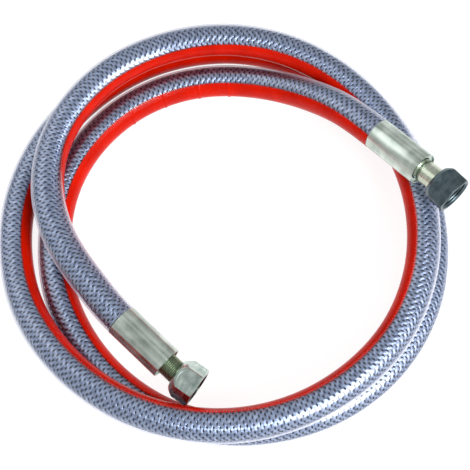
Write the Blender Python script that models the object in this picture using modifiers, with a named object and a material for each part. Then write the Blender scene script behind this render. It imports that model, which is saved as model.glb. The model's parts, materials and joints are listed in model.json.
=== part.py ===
"""Braided gas hose with a clear sheath, coiled for storage, with a crimped swivel-nut fitting on each end.

Metres, +Z up. The coil lies on the level floor z = 0, and the origin is below the middle of its box.
Turn angles run clockwise seen from above, from +Y, and go on counting past one full turn.
"""
import math

import bmesh
import bpy
import numpy as np
from mathutils import Matrix, Vector

# Hose, from the outside in
SHEATH_OD = 0.0200
SHEATH_WALL = 0.0012
BRAID_WALL = 0.0008
LINER_WALL = 0.0020
LAYER_GAP = 0.00035
FIT_GAP = 0.0003

# Crimped ferrule
FERRULE_LENGTH = 0.0370
FERRULE_WALL = 0.0014
FERRULE_LIP = 0.0016
RIM_RECESS = 0.0012
RIM_ROUND = 0.0005

# Tail piece: barb inside the hose, neck, and the head that keeps the nut on
TAIL_WALL = 0.0011
TAIL_REACH = 0.0320
NECK_OD = 0.0138
NECK_LENGTH = 0.0115
HEAD_OD = 0.0162
HEAD_THICKNESS = 0.0022
HEAD_DEPTH = 0.0012

# Swivel nut
NUT_ACROSS_FLATS = 0.0220
NUT_LENGTH = 0.0150
NUT_BACK_WALL = 0.0026
NUT_THREAD_BORE = 0.0184
NUT_MOUTH_CHAMFER = 0.0007
NUT_BACK_HOLE = 0.0154
NUT_PIVOT = 0.0034
NUT_BACK_LAND = 0.0164
NUT_CROWN = 0.0062
NUT_BULGE = 1.6
NUT_RIM_FLAT = 0.0216
NUT_RIM_CROWN = 0.0008

# Where the coil's axis stands, so that the origin is below the middle of the box
COIL_AXIS_X = -0.0010
COIL_AXIS_Y = -0.0075

# Each fitting: turn angle and radius of the ferrule's open end, its height, the compass heading
# of its axis towards the nut, its rise, how far the loose nut is swung and drooped from that axis,
# how far it has slid back along the neck, and the hexagon's roll about its axis
FITTINGS = {
    "a": dict(turn=227.4, radius=0.0826, height=0.0290, heading=133.1, rise=-4.0,
              nut_swing=-8.5, nut_droop=0.0, nut_setback=0.0033, nut_roll=37.9),
    "b": dict(turn=59.0, radius=0.1066, height=0.0452, heading=138.0, rise=14.0,
              nut_swing=0.0, nut_droop=10.0, nut_setback=0.0010, nut_roll=16.5),
}

# Route of the hose's centre: turn angle, radius, and height above the lowest turn in hose diameters
ROUTE = [
    (245.6, 0.0863, 1.00), (257.0, 0.0924, 1.01), (268.0, 0.1006, 1.02), (279.0, 0.1086, 1.03),
    (290.0, 0.1157, 0.98), (300.0, 0.1208, 0.95), (310.0, 0.1240, 0.97), (325.0, 0.1270, 1.00),
    (340.0, 0.1280, 1.00), (360.0, 0.1280, 1.00), (380.0, 0.1262, 1.00), (400.0, 0.1230, 0.97),
    (420.0, 0.1205, 0.95), (441.0, 0.1192, 0.95), (462.0, 0.1186, 0.94), (482.0, 0.1180, 0.95),
    (502.0, 0.1168, 0.98), (520.0, 0.1170, 1.02), (540.0, 0.1180, 1.03), (556.0, 0.1192, 1.00),
    (568.0, 0.1204, 0.94), (579.0, 0.1216, 0.86), (590.0, 0.1232, 0.73), (600.0, 0.1250, 0.56),
    (611.0, 0.1272, 0.28), (623.0, 0.1290, 0.05), (637.0, 0.1308, 0.00), (655.0, 0.1316, 0.00),
    (675.0, 0.1316, 0.00), (700.0, 0.1326, 0.00), (722.0, 0.1328, 0.00), (742.0, 0.1316, 0.00),
    (764.0, 0.1298, 0.00), (786.0, 0.1282, 0.00), (808.0, 0.1276, 0.00), (830.0, 0.1276, 0.00),
    (850.0, 0.1256, 0.00), (868.0, 0.1224, 0.00), (886.0, 0.1188, 0.00), (902.0, 0.1164, 0.00),
    (918.0, 0.1140, 0.00), (936.0, 0.1104, 0.00), (954.0, 0.1078, 0.00), (972.0, 0.1066, 0.00),
    (992.0, 0.1060, 0.00), (1012.0, 0.1076, 0.00), (1032.0, 0.1086, 0.00), (1052.0, 0.1092, 0.00),
    (1072.0, 0.1090, 0.02), (1088.0, 0.1078, 0.14), (1101.0, 0.1058, 0.49), (1113.0, 0.1036, 1.01),
    (1124.0, 0.1034, 1.46),
]
HOSE_RINGS = 72
FINE_SAMPLES = 24
LEAD_OUT = 0.0080

# Facets
TURNED_STEPS = 40
BORE_STEPS = 36
DOME_STEPS = 5
TUBE_BEVEL_RESOLUTION = 3
TUBE_SIDES = 4 + 2 * TUBE_BEVEL_RESOLUTION
EDGE_DOWN = math.pi / TUBE_SIDES
SMOOTH_ANGLE = math.radians(30.0)

BRAID_OD = SHEATH_OD - 2.0 * (SHEATH_WALL + LAYER_GAP)
LINER_OD = BRAID_OD - 2.0 * (BRAID_WALL + LAYER_GAP)
HOSE_BORE = LINER_OD - 2.0 * LINER_WALL
FERRULE_ID = BRAID_OD + 2.0 * FIT_GAP
FERRULE_OD = FERRULE_ID + 2.0 * FERRULE_WALL
BARB_OD = HOSE_BORE - 2.0 * FIT_GAP - LAYER_GAP
TAIL_BORE = BARB_OD - 2.0 * TAIL_WALL
LIP_START = FERRULE_LENGTH - RIM_RECESS - FERRULE_LIP
HOSE_INSIDE = LIP_START - FIT_GAP


def clear_scene():
    for item in list(bpy.data.objects):
        bpy.data.objects.remove(item, do_unlink=True)


def new_collection(name):
    collection = bpy.data.collections.new(name)
    bpy.context.scene.collection.children.link(collection)
    return collection


def make_material(name, colour, roughness, metallic, transmission=0.0):
    material = bpy.data.materials.new(name)
    material.use_nodes = True
    shader = material.node_tree.nodes["Principled BSDF"]
    shader.inputs["Base Color"].default_value = (*colour, 1.0)
    shader.inputs["Roughness"].default_value = roughness
    shader.inputs["Metallic"].default_value = metallic
    shader.inputs["Transmission Weight"].default_value = transmission
    material.diffuse_color = (*colour, 1.0)
    return material


# Places and directions

def around_coil(turn, radius, height):
    """A point at a clockwise turn angle and a radius from the coil's axis."""
    angle = math.radians(turn)
    return Vector((COIL_AXIS_X + radius * math.sin(angle), COIL_AXIS_Y + radius * math.cos(angle), height))


def direction(heading, rise):
    """Unit vector along a compass heading, with its rise above the level."""
    flat = math.cos(math.radians(rise))
    angle = math.radians(heading)
    return Vector((flat * math.sin(angle), flat * math.cos(angle), math.sin(math.radians(rise))))


def axis_frame(origin, axis, roll=0.0):
    """Frame with its +Z on the axis and its +X turned by roll from the upward side."""
    side = axis.cross(Vector((0.0, 0.0, 1.0))).normalized()
    upward = side.cross(axis).normalized()
    frame = Matrix((upward, side, axis)).transposed().to_4x4()
    frame.translation = origin
    return frame @ Matrix.Rotation(math.radians(roll), 4, "Z")


def fitting_origin(fitting):
    return around_coil(fitting["turn"], fitting["radius"], fitting["height"])


def fitting_axis(fitting):
    return direction(fitting["heading"], fitting["rise"])


def nut_axis(fitting):
    return direction(fitting["heading"] + fitting["nut_swing"], fitting["rise"] - fitting["nut_droop"])


def nut_back(fitting):
    """Centre of the nut's back face: the loose nut's axis crosses the neck's a little way inside it."""
    distance = FERRULE_LENGTH + NECK_LENGTH - fitting["nut_setback"] + NUT_PIVOT
    crossing = fitting_origin(fitting) + distance * fitting_axis(fitting)
    return crossing - NUT_PIVOT * nut_axis(fitting)


# Route of the hose

def smooth_curve(points, count, lead):
    """Cubic Hermite curve through the points, in equal steps of its length between two short leads."""
    points = np.array(points, dtype=float)
    chords = np.linalg.norm(np.diff(points, axis=0), axis=1)
    knots = np.concatenate(([0.0], np.cumsum(chords)))
    slopes = np.diff(points, axis=0) / chords[:, None]
    tangents = np.empty_like(points)
    tangents[0] = slopes[0]
    tangents[-1] = slopes[-1]
    weight = (chords[1:] / (chords[1:] + chords[:-1]))[:, None]
    tangents[1:-1] = weight * slopes[:-1] + (1.0 - weight) * slopes[1:]
    t = np.linspace(0.0, 1.0, FINE_SAMPLES, endpoint=False)[:, None, None]
    start, end = points[:-1], points[1:]
    pull_start = tangents[:-1] * chords[:, None]
    pull_end = tangents[1:] * chords[:, None]
    fine = ((2 * t**3 - 3 * t**2 + 1) * start + (t**3 - 2 * t**2 + t) * pull_start
            + (-2 * t**3 + 3 * t**2) * end + (t**3 - t**2) * pull_end)
    fine = np.vstack((fine.transpose(1, 0, 2).reshape(-1, 3), points[-1]))
    length = np.concatenate(([0.0], np.cumsum(np.linalg.norm(np.diff(fine, axis=0), axis=1))))
    places = np.concatenate(([0.0], np.linspace(lead, length[-1] - lead, count - 2), [length[-1]]))
    return np.column_stack([np.interp(places, length, fine[:, axis]) for axis in range(3)])


def free_route():
    """Hose centre from ferrule mouth to ferrule mouth, leaving each fitting along its axis."""
    origin_a, axis_a = fitting_origin(FITTINGS["a"]), fitting_axis(FITTINGS["a"])
    origin_b, axis_b = fitting_origin(FITTINGS["b"]), fitting_axis(FITTINGS["b"])
    points = [origin_a - FIT_GAP * axis_a, origin_a - LEAD_OUT * axis_a]
    for turn, radius, level in ROUTE:
        points.append(around_coil(turn, radius, SHEATH_OD * (0.5 + level)))
    points += [origin_b - LEAD_OUT * axis_b, origin_b - FIT_GAP * axis_b]
    return smooth_curve(points, HOSE_RINGS, LEAD_OUT - FIT_GAP)


def full_route():
    """The free route, continued straight into both ferrules."""
    inside = []
    for key in ("a", "b"):
        origin, axis = fitting_origin(FITTINGS[key]), fitting_axis(FITTINGS[key])
        inside.append([origin + share * HOSE_INSIDE * axis for share in (0.5, 1.0)])
    return np.vstack((np.array(inside[0][::-1]), free_route(), np.array(inside[1])))


# Shapes

def link(item, collection, material):
    collection.objects.link(item)
    item.data.materials.clear()
    item.data.materials.append(material)
    return item


def shade(mesh):
    mesh.shade_smooth()
    mesh.set_sharp_from_angle(angle=SMOOTH_ANGLE)


def add_tube(name, route, outer_diameter, wall, collection, material):
    """Hollow tube: a bevelled curve along the route, open at both ends, with its wall inwards."""
    curve = bpy.data.curves.new(name + "_route", "CURVE")
    curve.dimensions = "3D"
    curve.twist_mode = "Z_UP"
    curve.bevel_depth = 0.5 * outer_diameter
    curve.bevel_resolution = TUBE_BEVEL_RESOLUTION
    curve.use_fill_caps = False
    spline = curve.splines.new("POLY")
    spline.points.add(len(route) - 1)
    spline.points.foreach_set("co", np.column_stack((route, np.ones(len(route)))).ravel())
    spline.points.foreach_set("tilt", np.full(len(route), EDGE_DOWN))
    guide = bpy.data.objects.new(name + "_route", curve)
    bpy.context.scene.collection.objects.link(guide)
    evaluated = guide.evaluated_get(bpy.context.evaluated_depsgraph_get())
    mesh = bpy.data.meshes.new_from_object(evaluated)
    bpy.data.objects.remove(guide, do_unlink=True)
    mesh.name = name
    shade(mesh)
    tube = link(bpy.data.objects.new(name, mesh), collection, material)
    solidify = tube.modifiers.new("wall", "SOLIDIFY")
    solidify.thickness = wall
    solidify.offset = -1.0
    solidify.use_even_offset = True
    return tube


def turned_mesh(name, profile, steps):
    """Closed solid of revolution about +Z from (radius, height) points, with its faces outwards."""
    mesh = bpy.data.meshes.new(name)
    shape = bmesh.new()
    ring = [shape.verts.new((radius, 0.0, height)) for radius, height in profile]
    edges = [shape.edges.new((a, b)) for a, b in zip(ring, ring[1:] + ring[:1])]
    bmesh.ops.spin(shape, geom=ring + edges, axis=(0, 0, 1), cent=(0, 0, 0), angle=2.0 * math.pi,
                   steps=steps, use_merge=True)
    bmesh.ops.remove_doubles(shape, verts=shape.verts, dist=1e-6)
    bmesh.ops.recalc_face_normals(shape, faces=shape.faces)
    shape.to_mesh(mesh)
    shape.free()
    return mesh


def add_turned(name, profile, frame, collection, material):
    mesh = turned_mesh(name, profile, TURNED_STEPS)
    shade(mesh)
    item = link(bpy.data.objects.new(name, mesh), collection, material)
    item.matrix_world = frame
    return item


def add_ferrule(name, frame, collection, material):
    """Cup-like sleeve: open over the braid, with a lip on the neck and a rim standing past it."""
    outer = 0.5 * FERRULE_OD
    inner = 0.5 * FERRULE_ID
    lip = 0.5 * NECK_OD + FIT_GAP
    profile = [
        (inner, 0.0), (outer - RIM_ROUND, 0.0), (outer, RIM_ROUND),
        (outer, FERRULE_LENGTH - RIM_ROUND), (outer - RIM_ROUND, FERRULE_LENGTH), (inner, FERRULE_LENGTH),
        (inner, FERRULE_LENGTH - RIM_RECESS), (lip, FERRULE_LENGTH - RIM_RECESS), (lip, LIP_START),
        (inner, LIP_START),
    ]
    return add_turned(name, profile, frame, collection, material)


def add_tail(name, frame, collection, material):
    """Hollow tail: barb in the hose, neck through the ferrule's lip and the nut's back, and a head."""
    barb = 0.5 * BARB_OD
    neck = 0.5 * NECK_OD
    head = 0.5 * HEAD_OD
    bore = 0.5 * TAIL_BORE
    nut_inside = FERRULE_LENGTH + NECK_LENGTH + NUT_BACK_WALL
    head_start = nut_inside + HEAD_DEPTH
    profile = [
        (bore, FERRULE_LENGTH - TAIL_REACH), (barb, FERRULE_LENGTH - TAIL_REACH), (barb, LIP_START),
        (neck, LIP_START), (neck, head_start), (head, head_start),
        (head, head_start + HEAD_THICKNESS), (bore, head_start + HEAD_THICKNESS),
    ]
    return add_turned(name, profile, frame, collection, material)


def add_nut(name, frame, collection, cutters, material):
    """Hexagon trimmed by a domed back and a chamfered rim, then bored for the neck, head and thread."""
    corner = NUT_ACROSS_FLATS / math.sqrt(3.0)
    bar = 3.0 * NUT_LENGTH
    mesh = bpy.data.meshes.new(name)
    shape = bmesh.new()
    bmesh.ops.create_cone(shape, cap_ends=True, segments=6, radius1=corner, radius2=corner, depth=bar)
    bmesh.ops.rotate(shape, verts=shape.verts, cent=(0, 0, 0), matrix=Matrix.Rotation(math.radians(30), 3, "Z"))
    bmesh.ops.translate(shape, verts=shape.verts, vec=(0, 0, 0.5 * NUT_LENGTH))
    shape.to_mesh(mesh)
    shape.free()
    nut = link(bpy.data.objects.new(name, mesh), collection, material)
    nut.matrix_world = frame
    land = 0.5 * NUT_BACK_LAND
    shares = [step / DOME_STEPS for step in range(DOME_STEPS + 1)]
    dome = [(land + (corner + FIT_GAP - land) * share, NUT_CROWN * share**NUT_BULGE) for share in shares]
    crown = [
        (0.0, 0.0), *dome,
        (corner + FIT_GAP, NUT_LENGTH - NUT_RIM_CROWN), (0.5 * NUT_RIM_FLAT, NUT_LENGTH), (0.0, NUT_LENGTH),
    ]
    back_hole = 0.5 * NUT_BACK_HOLE
    thread = 0.5 * NUT_THREAD_BORE
    past = bar
    bore = [
        (0.0, -past), (back_hole, -past), (back_hole, NUT_BACK_WALL), (thread, NUT_BACK_WALL),
        (thread, NUT_LENGTH - NUT_MOUTH_CHAMFER), (thread + NUT_MOUTH_CHAMFER, NUT_LENGTH),
        (thread + NUT_MOUTH_CHAMFER, NUT_LENGTH + past), (0.0, NUT_LENGTH + past),
    ]
    for suffix, profile, operation in (("_crown", crown, "INTERSECT"), ("_bore", bore, "DIFFERENCE")):
        cutter = bpy.data.objects.new(name + suffix, turned_mesh(name + suffix, profile, BORE_STEPS))
        cutters.objects.link(cutter)
        cutter.matrix_world = frame
        cutter.hide_render = True
        cutter.display_type = "WIRE"
        cut = nut.modifiers.new(suffix, "BOOLEAN")
        cut.operation = operation
        cut.solver = "EXACT"
        cut.object = cutter
    return nut


def build():
    clear_scene()
    parts = new_collection("braided_gas_hose")
    cutters = new_collection("cutters")
    rubber = make_material("liner_rubber", (0.03, 0.03, 0.03), 0.7, 0.0)
    wire = make_material("braid_steel", (0.55, 0.60, 0.68), 0.3, 1.0)
    pvc = make_material("clear_pvc", (0.92, 0.94, 0.96), 0.08, 0.0, transmission=0.9)
    satin = make_material("ferrule_steel", (0.62, 0.68, 0.64), 0.35, 1.0)
    turned = make_material("tail_steel", (0.58, 0.62, 0.56), 0.3, 1.0)
    bright = make_material("bright_nut_steel", (0.72, 0.76, 0.74), 0.2, 1.0)
    dark = make_material("dark_nut_steel", (0.22, 0.26, 0.29), 0.35, 1.0)

    whole = full_route()
    add_tube("clear_sheath", free_route(), SHEATH_OD, SHEATH_WALL, parts, pvc)
    add_tube("wire_braid", whole, BRAID_OD, BRAID_WALL, parts, wire)
    add_tube("inner_tube", whole, LINER_OD, LINER_WALL, parts, rubber)

    for key, nut_steel in (("a", bright), ("b", dark)):
        fitting = FITTINGS[key]
        frame = axis_frame(fitting_origin(fitting), fitting_axis(fitting))
        add_ferrule("ferrule_" + key, frame, parts, satin)
        add_tail("tail_" + key, frame, parts, turned)
        nut_frame = axis_frame(nut_back(fitting), nut_axis(fitting), fitting["nut_roll"])
        add_nut("nut_" + key, nut_frame, parts, cutters, nut_steel)
    bpy.context.view_layer.update()


build()
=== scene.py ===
# %% [markdown]
# A stainless gas hose, coiled for storage on a pale floor.
# Under a clear vinyl sheath lies a sleeve woven from steel wire, over a black rubber tube. Each end has a
# crimped ferrule, a turned tail with a short neck, and a hexagon nut that spins on it.
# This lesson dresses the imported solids: it first loads them as a fixed frame, and then gives each its finish.

# %% Load the frame
import json
import math

import bpy
import numpy as np
from mathutils import Matrix, Vector


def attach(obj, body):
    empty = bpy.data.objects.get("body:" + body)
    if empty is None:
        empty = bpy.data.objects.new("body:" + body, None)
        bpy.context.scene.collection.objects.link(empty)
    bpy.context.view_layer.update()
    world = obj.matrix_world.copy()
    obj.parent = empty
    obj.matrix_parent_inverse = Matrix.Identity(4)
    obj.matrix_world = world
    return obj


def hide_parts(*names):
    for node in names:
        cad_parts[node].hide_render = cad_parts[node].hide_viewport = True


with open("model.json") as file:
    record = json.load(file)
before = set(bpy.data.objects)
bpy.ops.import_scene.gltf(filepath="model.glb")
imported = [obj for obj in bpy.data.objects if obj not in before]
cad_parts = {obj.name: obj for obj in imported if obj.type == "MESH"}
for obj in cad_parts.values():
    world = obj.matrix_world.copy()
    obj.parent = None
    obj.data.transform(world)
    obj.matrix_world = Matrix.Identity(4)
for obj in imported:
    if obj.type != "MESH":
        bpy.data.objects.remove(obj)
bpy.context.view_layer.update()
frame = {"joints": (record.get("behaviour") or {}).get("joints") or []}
MM = 0.001

# %% [markdown]
# The camera looks down on the coil from the front, about 19 degrees off the vertical.
# Its distance sets how much the raised turns grow, and the lens then sets the picture's width.

# %% Camera
TARGET = Vector((4.5 * MM, -4.7 * MM, 10 * MM))
TILT = math.radians(19.0)
DISTANCE = 650 * MM
PIXELS_PER_METRE_AT_TARGET = 1620.0
PICTURE_PIXELS = 470.0
SENSOR_MM = 36.0


def add_camera():
    """Camera on a tilted line through the target, its lens from the pixels that a metre fills there."""
    data = bpy.data.cameras.new("camera")
    data.sensor_width = SENSOR_MM
    data.lens = SENSOR_MM * PIXELS_PER_METRE_AT_TARGET * DISTANCE / PICTURE_PIXELS
    data.clip_start = 0.01
    camera = bpy.data.objects.new("camera", data)
    bpy.context.scene.collection.objects.link(camera)
    camera.location = TARGET + DISTANCE * Vector((0.0, -math.sin(TILT), math.cos(TILT)))
    camera.rotation_euler = (TILT, 0.0, 0.0)
    bpy.context.scene.camera = camera
    return camera


camera = add_camera()
print("camera lens:", round(camera.data.lens, 1), "mm")

# %% [markdown]
# The hose is a real length of something stiff, so its line is settled before its skin.
# Each route point is a turn angle clockwise from the back, a distance from the coil's axis, and a height
# above the lowest turn in hose diameters. The angle goes on counting past each full turn.

# %% The route's own points
HOSE_OD = 20.0 * MM
COIL_AXIS = Vector((-1.0 * MM, -7.5 * MM, 0.0))
FITTINGS = {
    "a": dict(turn=227.4, radius=0.0826, height=0.0290, heading=133.1, rise=-4.0),
    "b": dict(turn=59.0, radius=0.1066, height=0.0452, heading=138.0, rise=14.0),
}
ROUTE = [
    (245.6, 0.0863, 1.00), (257.0, 0.0924, 1.01), (268.0, 0.1006, 1.02), (279.0, 0.1086, 1.03),
    (290.0, 0.1157, 0.98), (300.0, 0.1208, 0.95), (310.0, 0.1240, 0.97), (325.0, 0.1270, 1.00),
    (340.0, 0.1280, 1.00), (360.0, 0.1280, 1.00), (380.0, 0.1262, 1.00), (400.0, 0.1230, 0.97),
    (420.0, 0.1205, 0.95), (441.0, 0.1192, 0.95), (462.0, 0.1186, 0.94), (482.0, 0.1180, 0.95),
    (502.0, 0.1168, 0.98), (520.0, 0.1170, 1.02), (540.0, 0.1180, 1.03), (556.0, 0.1192, 1.00),
    (568.0, 0.1204, 0.94), (579.0, 0.1216, 0.86), (590.0, 0.1232, 0.73), (600.0, 0.1250, 0.56),
    (611.0, 0.1272, 0.28), (623.0, 0.1290, 0.05), (637.0, 0.1308, 0.00), (655.0, 0.1316, 0.00),
    (675.0, 0.1316, 0.00), (700.0, 0.1326, 0.00), (722.0, 0.1328, 0.00), (742.0, 0.1316, 0.00),
    (764.0, 0.1298, 0.00), (786.0, 0.1282, 0.00), (808.0, 0.1276, 0.00), (830.0, 0.1276, 0.00),
    (850.0, 0.1256, 0.00), (868.0, 0.1224, 0.00), (886.0, 0.1188, 0.00), (902.0, 0.1164, 0.00),
    (918.0, 0.1140, 0.00), (936.0, 0.1104, 0.00), (954.0, 0.1078, 0.00), (972.0, 0.1066, 0.00),
    (992.0, 0.1060, 0.00), (1012.0, 0.1076, 0.00), (1032.0, 0.1086, 0.00), (1052.0, 0.1092, 0.00),
    (1072.0, 0.1090, 0.02), (1088.0, 0.1078, 0.14), (1101.0, 0.1058, 0.49), (1113.0, 0.1036, 1.01),
    (1124.0, 0.1034, 1.46),
]


def around_coil(turn, radius, height):
    """A point at a clockwise turn angle and a radius from the coil's axis."""
    angle = math.radians(turn)
    return COIL_AXIS + Vector((radius * math.sin(angle), radius * math.cos(angle), height))


def direction(heading, rise):
    """Unit vector along a compass heading, tipped up by the rise."""
    flat = math.cos(math.radians(rise))
    angle = math.radians(heading)
    return Vector((flat * math.sin(angle), flat * math.cos(angle), math.sin(math.radians(rise))))


def fitting_origin(key):
    """Where the hose enters the ferrule at an end."""
    fitting = FITTINGS[key]
    return around_coil(fitting["turn"], fitting["radius"], fitting["height"])


def fitting_axis(key):
    """The direction from the ferrule's mouth out to its nut."""
    return direction(FITTINGS[key]["heading"], FITTINGS[key]["rise"])


print("route points:", len(ROUTE), "over", round((ROUTE[-1][0] - ROUTE[0][0]) / 360.0, 2), "turns")

# %% [markdown]
# The hose leaves each ferrule straight, so two points on each fitting's axis are added. The curve through all
# the points is then relaxed a little, because a stiff hose has no sudden bends.

# %% A smooth line through the points
LEAD_OUT = 8.0 * MM
JOINT_GAP = 0.3 * MM
CURVE_STEPS = 60
LINE_STEP = 1.0 * MM
RELAX = 8.0 * MM


def smooth_line(points):
    """Cubic Hermite curve: each point's slope weighs the slopes of its two chords by the other's length."""
    points = np.array(points, dtype=float)
    chords = np.linalg.norm(np.diff(points, axis=0), axis=1)
    slopes = np.diff(points, axis=0) / chords[:, None]
    weight = (chords[1:] / (chords[1:] + chords[:-1]))[:, None]
    tangents = np.vstack((slopes[:1], weight * slopes[:-1] + (1.0 - weight) * slopes[1:], slopes[-1:]))
    t = np.linspace(0.0, 1.0, CURVE_STEPS, endpoint=False)[:, None, None]
    fine = ((2 * t**3 - 3 * t**2 + 1) * points[:-1] + (t**3 - 2 * t**2 + t) * tangents[:-1] * chords[:, None]
            + (-2 * t**3 + 3 * t**2) * points[1:] + (t**3 - t**2) * tangents[1:] * chords[:, None])
    return np.vstack((fine.transpose(1, 0, 2).reshape(-1, 3), points[-1]))


def even_steps(line, step):
    """The line read again at equal steps of its length."""
    length = np.concatenate(([0.0], np.cumsum(np.linalg.norm(np.diff(line, axis=0), axis=1))))
    places = np.linspace(0.0, length[-1], int(round(length[-1] / step)) + 1)
    return np.column_stack([np.interp(places, length, line[:, axis]) for axis in range(3)])


def relaxed(line, width):
    """Each point becomes a bell-weighted mean of its neighbours; the ends are mirrored through themselves,
    so that they keep their place and direction."""
    reach = int(3 * width / LINE_STEP)
    bell = np.exp(-0.5 * (np.arange(-reach, reach + 1) * LINE_STEP / width) ** 2)
    bell /= bell.sum()
    head = 2 * line[0] - line[reach:0:-1]
    tail = 2 * line[-1] - line[-2:-reach - 2:-1]
    padded = np.vstack((head, line, tail))
    return np.column_stack([np.convolve(column, bell, mode="valid") for column in padded.T])


def hose_line():
    """The hose's centre from ferrule mouth to ferrule mouth, at even steps of its length, relaxed."""
    start, start_axis = fitting_origin("a"), fitting_axis("a")
    end, end_axis = fitting_origin("b"), fitting_axis("b")
    points = [start - JOINT_GAP * start_axis, start - LEAD_OUT * start_axis]
    points += [around_coil(turn, radius, HOSE_OD * (0.5 + level)) for turn, radius, level in ROUTE]
    points += [end - LEAD_OUT * end_axis, end - JOINT_GAP * end_axis]
    return relaxed(even_steps(smooth_line(points), LINE_STEP), RELAX)


LINE = hose_line()
STEP_LENGTHS = np.linalg.norm(np.diff(LINE, axis=0), axis=1)
LINE_LENGTH = float(STEP_LENGTHS.sum())
LINE_PLACE = np.concatenate(([0.0], np.cumsum(STEP_LENGTHS)))
print("hose between the ferrules:", round(LINE_LENGTH, 4), "m")

# %% [markdown]
# Every layer of the hose is a tube round the same line, so one ruler serves them all. At each place along
# the line it gives a side direction, level and towards the inside of the coil, and an upward one. A point
# is then a place along the hose, a turn about it, and a distance from its centre.

# %% A ruler round the hose
def line_directions(line):
    """The tangent comes by central differences. Inward = tangent x up, and upward = inward x tangent."""
    tangent = np.gradient(line, axis=0)
    tangent /= np.linalg.norm(tangent, axis=1)[:, None]
    inward = np.cross(tangent, (0.0, 0.0, 1.0))
    inward /= np.linalg.norm(inward, axis=1)[:, None]
    return inward, np.cross(inward, tangent)


LINE_INWARD, LINE_UPWARD = line_directions(LINE)


def read_line(values, place):
    """Values that are kept for each point of the line, read at any places along it."""
    return np.stack([np.interp(place, LINE_PLACE, values[:, axis]) for axis in range(3)], axis=-1)


def around_hose(place, turn, radius):
    """Centre + radius * (cos(turn) * inward + sin(turn) * upward), for whole arrays at once."""
    side = np.cos(turn)[..., None] * read_line(LINE_INWARD, place)
    rise = np.sin(turn)[..., None] * read_line(LINE_UPWARD, place)
    return read_line(LINE, place) + np.asarray(radius)[..., None] * (side + rise)


print("the line has", len(LINE), "points,", round(LINE_STEP / MM, 1), "mm apart")

# %% [markdown]
# Every skin here is a grid of points. Its faces join neighbours and go round where a side wraps, and each is
# wound so that it faces outward. UVs are given corner by corner, so they can't jump where a grid wraps.

# %% Meshes from grids
def grid_faces(rows, columns, wrap_rows, wrap_columns, first=0):
    """Quads between neighbours of a grid of points, going round where a side wraps."""
    i = np.arange(rows if wrap_rows else rows - 1)[:, None]
    j = np.arange(columns if wrap_columns else columns - 1)[None, :]
    i2 = (i + 1) % rows
    j2 = (j + 1) % columns
    corners = (i * columns + j, i2 * columns + j, i2 * columns + j2, i * columns + j2)
    return first + np.stack(np.broadcast_arrays(*corners), axis=-1).reshape(-1, 4)


def grid_uv(rows, columns, wrap_rows, wrap_columns, row_span):
    """A corner's U is its share of the columns, and its V is its share of the rows times the row span."""
    i = np.arange(rows if wrap_rows else rows - 1)[:, None]
    j = np.arange(columns if wrap_columns else columns - 1)[None, :]
    corner_i = np.stack(np.broadcast_arrays(i, i + 1, i + 1, i, j)[:4], axis=-1)
    corner_j = np.stack(np.broadcast_arrays(j, j, j + 1, j + 1, i)[:4], axis=-1)
    u = corner_j / float(columns if wrap_columns else columns - 1)
    v = row_span * corner_i / float(rows if wrap_rows else rows - 1)
    return np.stack((u, v), axis=-1).reshape(-1, 2)


def piece_from_arrays(name, points, faces, uv, material, sharp_degrees):
    """One mesh object at the origin from points, quads and one UV pair for each quad's corner. Edges that
    bend by more than the sharp angle are shaded sharp."""
    mesh = bpy.data.meshes.new(name)
    mesh.vertices.add(len(points))
    mesh.vertices.foreach_set("co", np.asarray(points, dtype=np.float32).ravel())
    mesh.loops.add(faces.size)
    mesh.loops.foreach_set("vertex_index", faces.astype(np.int32).ravel())
    mesh.polygons.add(len(faces))
    mesh.polygons.foreach_set("loop_start", np.arange(0, faces.size, 4, dtype=np.int32))
    mesh.uv_layers.new(name="UVMap").data.foreach_set("uv", np.asarray(uv, dtype=np.float32).ravel())
    mesh.update(calc_edges=True)
    mesh.validate()
    mesh.shade_smooth()
    mesh.set_sharp_from_angle(angle=math.radians(sharp_degrees))
    mesh.materials.append(material)
    piece = bpy.data.objects.new(name, mesh)
    bpy.context.scene.collection.objects.link(piece)
    print(name, "has", len(mesh.polygons), "faces")
    return piece


print("a grid of 3 by 4 points has", len(grid_faces(3, 4, False, False)), "faces, or 12 where both sides wrap")

# %% [markdown]
# Materials come next. Several finishes share the same effects, so those are node groups: brushed lines
# along a direction, and a faint cloudy change of tone that real metal and vinyl always have.

# %% Shared shader groups
TONE_REACH = 0.35


def new_group(name, inputs, outputs):
    """An empty shader node group with float and vector sockets by name, some with a starting value."""
    group = bpy.data.node_groups.new(name, "ShaderNodeTree")
    kinds = {"value": "NodeSocketFloat", "vector": "NodeSocketVector"}
    for in_out, sockets in (("INPUT", inputs), ("OUTPUT", outputs)):
        for label, kind, start in sockets:
            socket = group.interface.new_socket(label, in_out=in_out, socket_type=kinds[kind])
            if start is not None:
                socket.default_value = start
    return group, group.nodes.new("NodeGroupInput"), group.nodes.new("NodeGroupOutput")


def maths(tree, operation, first, second=None):
    """A Math node with each input set from a socket or a number."""
    node = tree.nodes.new("ShaderNodeMath")
    node.operation = operation
    for index, value in enumerate((first, second)):
        if value is None:
            continue
        if isinstance(value, (int, float)):
            node.inputs[index].default_value = value
        else:
            tree.links.new(value, node.inputs[index])
    return node.outputs[0]


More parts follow.
